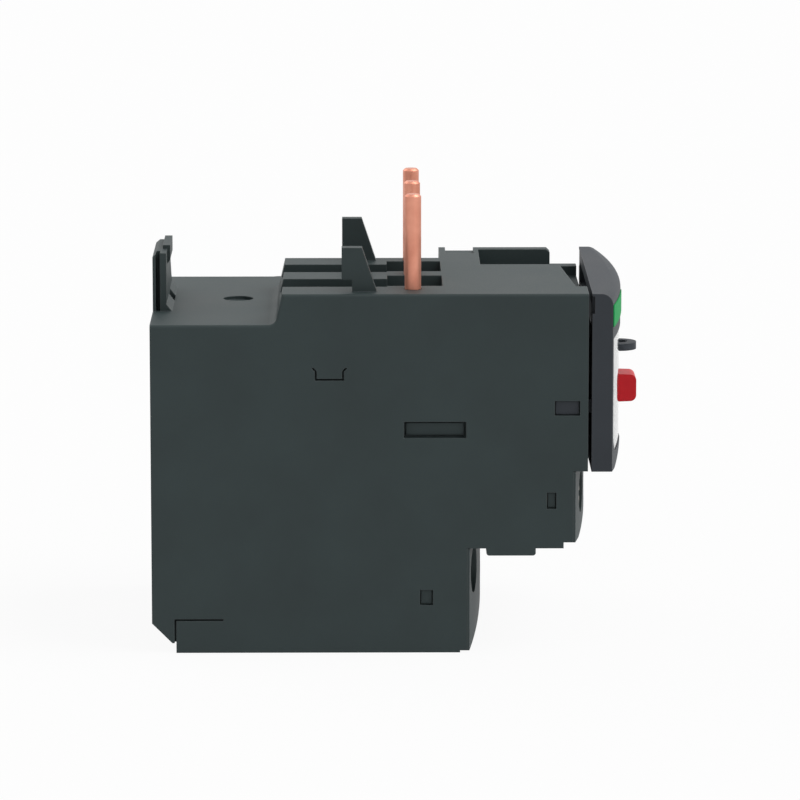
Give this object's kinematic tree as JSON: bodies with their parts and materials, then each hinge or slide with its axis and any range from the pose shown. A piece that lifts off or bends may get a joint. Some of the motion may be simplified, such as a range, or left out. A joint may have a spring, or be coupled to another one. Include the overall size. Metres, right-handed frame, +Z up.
{
  "type": "thermal overload relay",
  "caption": "Three-pole bimetal overload relay with contact pins, stepped terminal tiers, setting dial, push buttons and a hinged clear cover.",
  "frame": {"origin": "middle of the overall box, on the resting plane", "axes": "+Z up along the contact pins, -Y out of the front panel, +X to the right seen from the front"},
  "size_m": [0.045, 0.0704, 0.0653],
  "materials": {
    "housing": "fine moulded texture, dark grey",
    "bezel": "satin moulded, dark grey",
    "fascia": "smooth white",
    "inlay": "smooth green, bare",
    "clear": "clear polycarbonate",
    "frame": "glass-filled grey",
    "red_button": "satin red",
    "blue_button": "satin blue",
    "stem": "natural acetal",
    "dial": "white acetal",
    "mechanism": "natural polyamide",
    "signal": "orange",
    "spring_steel": "drawn wire",
    "screw_steel": "zinc plated",
    "bimetal": "rolled strip",
    "copper": "drawn copper",
    "heater": "rolled resistance ribbon",
    "terminal_metal": "rolled brass",
    "clamp_steel": "zinc plated",
    "contact_metal": "rolled, silver faced"
  },
  "bodies": {
    "relay": {"main_housing": "housing", "rear_cover": "housing", "power_terminal_block": "housing", "aux_terminal_block": "housing", "front_bezel": "bezel", "fascia_plate": "fascia", "name_inlay": "inlay", "mechanism_frame": "frame", "stop_spring": "spring_steel", "reset_spring": "spring_steel", "lever_pin": "spring_steel", "contact_pin_1": "copper", "contact_pin_2": "copper", "contact_pin_3": "copper", "heater_winding_1": "heater", "heater_winding_2": "heater", "heater_winding_3": "heater", "terminal_plate_1": "terminal_metal", "terminal_plate_2": "terminal_metal", "terminal_plate_3": "terminal_metal", "aux_terminal_1": "terminal_metal", "aux_terminal_2": "terminal_metal", "aux_terminal_3": "terminal_metal", "aux_terminal_4": "terminal_metal"},
    "cover": {"clear_cover": "clear"},
    "stop": {"stop_button": "red_button"},
    "reset": {"reset_stem": "stem"},
    "reset_cap": {"reset_knob": "blue_button"},
    "test": {"test_plunger": "stem"},
    "dial": {"setting_dial": "dial", "setting_cam": "dial"},
    "follower": {"cam_follower": "mechanism", "calibration_screw": "screw_steel"},
    "slide": {"slide_bar": "mechanism"},
    "differential": {"differential_bar": "mechanism"},
    "lever": {"trip_lever": "mechanism", "compensating_strip": "bimetal"},
    "rocker": {"contact_rocker": "mechanism", "nc_bridge": "contact_metal", "no_bridge": "contact_metal", "trip_flag": "signal"},
    "bimetal_1": {"bimetal_strip_1": "bimetal"},
    "power_clamp_1": {"power_saddle_1": "clamp_steel"},
    "power_bolt_1": {"power_screw_1": "screw_steel"},
    "bimetal_2": {"bimetal_strip_2": "bimetal"},
    "power_clamp_2": {"power_saddle_2": "clamp_steel"},
    "power_bolt_2": {"power_screw_2": "screw_steel"},
    "bimetal_3": {"bimetal_strip_3": "bimetal"},
    "power_clamp_3": {"power_saddle_3": "clamp_steel"},
    "power_bolt_3": {"power_screw_3": "screw_steel"},
    "aux_saddle_1": {"aux_clamp_1": "clamp_steel"},
    "aux_bolt_1": {"aux_screw_1": "screw_steel"},
    "aux_saddle_2": {"aux_clamp_2": "clamp_steel"},
    "aux_bolt_2": {"aux_screw_2": "screw_steel"},
    "aux_saddle_3": {"aux_clamp_3": "clamp_steel"},
    "aux_bolt_3": {"aux_screw_3": "screw_steel"},
    "aux_saddle_4": {"aux_clamp_4": "clamp_steel"},
    "aux_bolt_4": {"aux_screw_4": "screw_steel"}
  },
  "joints": [
    {"name": "cover_hinge", "type": "hinge", "parent": "relay", "child": "cover", "pos_m": [0.0208, -0.0298, 0.03685], "axis": [0, 0, 1], "range_deg": [0, 90]},
    {"name": "stop_push", "type": "slide", "parent": "relay", "child": "stop", "axis": [0, 1, 0], "range_m": [0, 0.0016], "stiffness_N_per_m": 300, "springref_m": -0.001, "deforming": ["stop_spring"]},
    {"name": "reset_push", "type": "slide", "parent": "relay", "child": "reset", "axis": [0, 1, 0], "range_m": [0, 0.0016], "stiffness_N_per_m": 300, "springref_m": -0.001, "deforming": ["reset_spring"]},
    {"name": "reset_turn", "type": "hinge", "parent": "reset", "child": "reset_cap", "pos_m": [0.0166, -0.029, 0.0364], "axis": [0, 1, 0], "range_deg": [0, 90]},
    {"name": "test_push", "type": "slide", "parent": "relay", "child": "test", "axis": [0, 1, 0], "range_m": [0, 0.0012], "stiffness_N_per_m": 200, "springref_m": -0.001},
    {"name": "dial_turn", "type": "hinge", "parent": "relay", "child": "dial", "pos_m": [-0.0105, -0.029, 0.0384], "axis": [0, 1, 0], "range_deg": [-131, 131]},
    {"name": "follower_lift", "type": "slide", "parent": "relay", "child": "follower", "axis": [0, 0, 1], "range_m": [-0.00025, 0.00025]},
    {"name": "trip_slide", "type": "slide", "parent": "relay", "child": "slide", "axis": [1, 0, 0], "range_m": [0, 0.0012], "stiffness_N_per_m": 150},
    {"name": "differential_slide", "type": "slide", "parent": "relay", "child": "differential", "axis": [1, 0, 0], "range_m": [0, 0.0012]},
    {"name": "bimetal_1_bend", "type": "hinge", "parent": "relay", "child": "bimetal_1", "pos_m": [-0.0145, 0.011, 0.0174], "axis": [0, 1, 0], "range_deg": [0, 2.8]},
    {"name": "bimetal_2_bend", "type": "hinge", "parent": "relay", "child": "bimetal_2", "pos_m": [-0.0009, 0.011, 0.0174], "axis": [0, 1, 0], "range_deg": [0, 2.8]},
    {"name": "bimetal_3_bend", "type": "hinge", "parent": "relay", "child": "bimetal_3", "pos_m": [0.0127, 0.011, 0.0174], "axis": [0, 1, 0], "range_deg": [0, 2.8]},
    {"name": "lever_turn", "type": "hinge", "parent": "relay", "child": "lever", "pos_m": [0.015, -0.0032, 0.04245], "axis": [0, 0, 1], "range_deg": [-8.6, 0]},
    {"name": "rocker_turn", "type": "hinge", "parent": "relay", "child": "rocker", "pos_m": [0, -0.0166, 0.0312], "axis": [0, 1, 0], "range_deg": [-7.7, 0]},
    {"name": "power_clamp_1_travel", "type": "slide", "parent": "relay", "child": "power_clamp_1", "axis": [0, 1, 0], "range_m": [0, 0.0042]},
    {"name": "power_screw_1_turn", "type": "hinge", "parent": "power_clamp_1", "child": "power_bolt_1", "pos_m": [-0.0178, -0.007, 0.0113], "axis": [0, 1, 0], "range_deg": [0, 2161]},
    {"name": "power_clamp_2_travel", "type": "slide", "parent": "relay", "child": "power_clamp_2", "axis": [0, 1, 0], "range_m": [0, 0.0042]},
    {"name": "power_screw_2_turn", "type": "hinge", "parent": "power_clamp_2", "child": "power_bolt_2", "pos_m": [-0.0042, -0.007, 0.0113], "axis": [0, 1, 0], "range_deg": [0, 2161]},
    {"name": "power_clamp_3_travel", "type": "slide", "parent": "relay", "child": "power_clamp_3", "axis": [0, 1, 0], "range_m": [0, 0.0042]},
    {"name": "power_screw_3_turn", "type": "hinge", "parent": "power_clamp_3", "child": "power_bolt_3", "pos_m": [0.0094, -0.007, 0.0113], "axis": [0, 1, 0], "range_deg": [0, 2161]},
    {"name": "aux_clamp_1_travel", "type": "slide", "parent": "relay", "child": "aux_saddle_1", "axis": [0, 1, 0], "range_m": [0, 0.003]},
    {"name": "aux_screw_1_turn", "type": "hinge", "parent": "aux_saddle_1", "child": "aux_bolt_1", "pos_m": [-0.0156, -0.024, 0.0222], "axis": [0, 1, 0], "range_deg": [0, 2161]},
    {"name": "aux_clamp_2_travel", "type": "slide", "parent": "relay", "child": "aux_saddle_2", "axis": [0, 1, 0], "range_m": [0, 0.003]},
    {"name": "aux_screw_2_turn", "type": "hinge", "parent": "aux_saddle_2", "child": "aux_bolt_2", "pos_m": [-0.0052, -0.024, 0.0222], "axis": [0, 1, 0], "range_deg": [0, 2161]},
    {"name": "aux_clamp_3_travel", "type": "slide", "parent": "relay", "child": "aux_saddle_3", "axis": [0, 1, 0], "range_m": [0, 0.003]},
    {"name": "aux_screw_3_turn", "type": "hinge", "parent": "aux_saddle_3", "child": "aux_bolt_3", "pos_m": [0.0052, -0.024, 0.0222], "axis": [0, 1, 0], "range_deg": [0, 2161]},
    {"name": "aux_clamp_4_travel", "type": "slide", "parent": "relay", "child": "aux_saddle_4", "axis": [0, 1, 0], "range_m": [0, 0.003]},
    {"name": "aux_screw_4_turn", "type": "hinge", "parent": "aux_saddle_4", "child": "aux_bolt_4", "pos_m": [0.0156, -0.024, 0.0222], "axis": [0, 1, 0], "range_deg": [0, 2161]}
  ],
  "couplings": [
    {"joint": "dial_turn", "follows": "follower_lift", "rad_per_m": 9075.7},
    {"joint": "differential_slide", "follows": "trip_slide", "ratio": 1},
    {"joint": "bimetal_1_bend", "follows": "trip_slide", "rad_per_m": 40},
    {"joint": "bimetal_2_bend", "follows": "trip_slide", "rad_per_m": 40},
    {"joint": "bimetal_3_bend", "follows": "trip_slide", "rad_per_m": 40},
    {"joint": "lever_turn", "follows": "trip_slide", "rad_per_m": -123.46},
    {"joint": "rocker_turn", "follows": "trip_slide", "rad_per_m": -110.5},
    {"joint": "power_screw_1_turn", "follows": "power_clamp_1_travel", "rad_per_m": 8976},
    {"joint": "power_screw_2_turn", "follows": "power_clamp_2_travel", "rad_per_m": 8976},
    {"joint": "power_screw_3_turn", "follows": "power_clamp_3_travel", "rad_per_m": 8976},
    {"joint": "aux_screw_1_turn", "follows": "aux_clamp_1_travel", "rad_per_m": 12566},
    {"joint": "aux_screw_2_turn", "follows": "aux_clamp_2_travel", "rad_per_m": 12566},
    {"joint": "aux_screw_3_turn", "follows": "aux_clamp_3_travel", "rad_per_m": 12566},
    {"joint": "aux_screw_4_turn", "follows": "aux_clamp_4_travel", "rad_per_m": 12566}
  ]
}
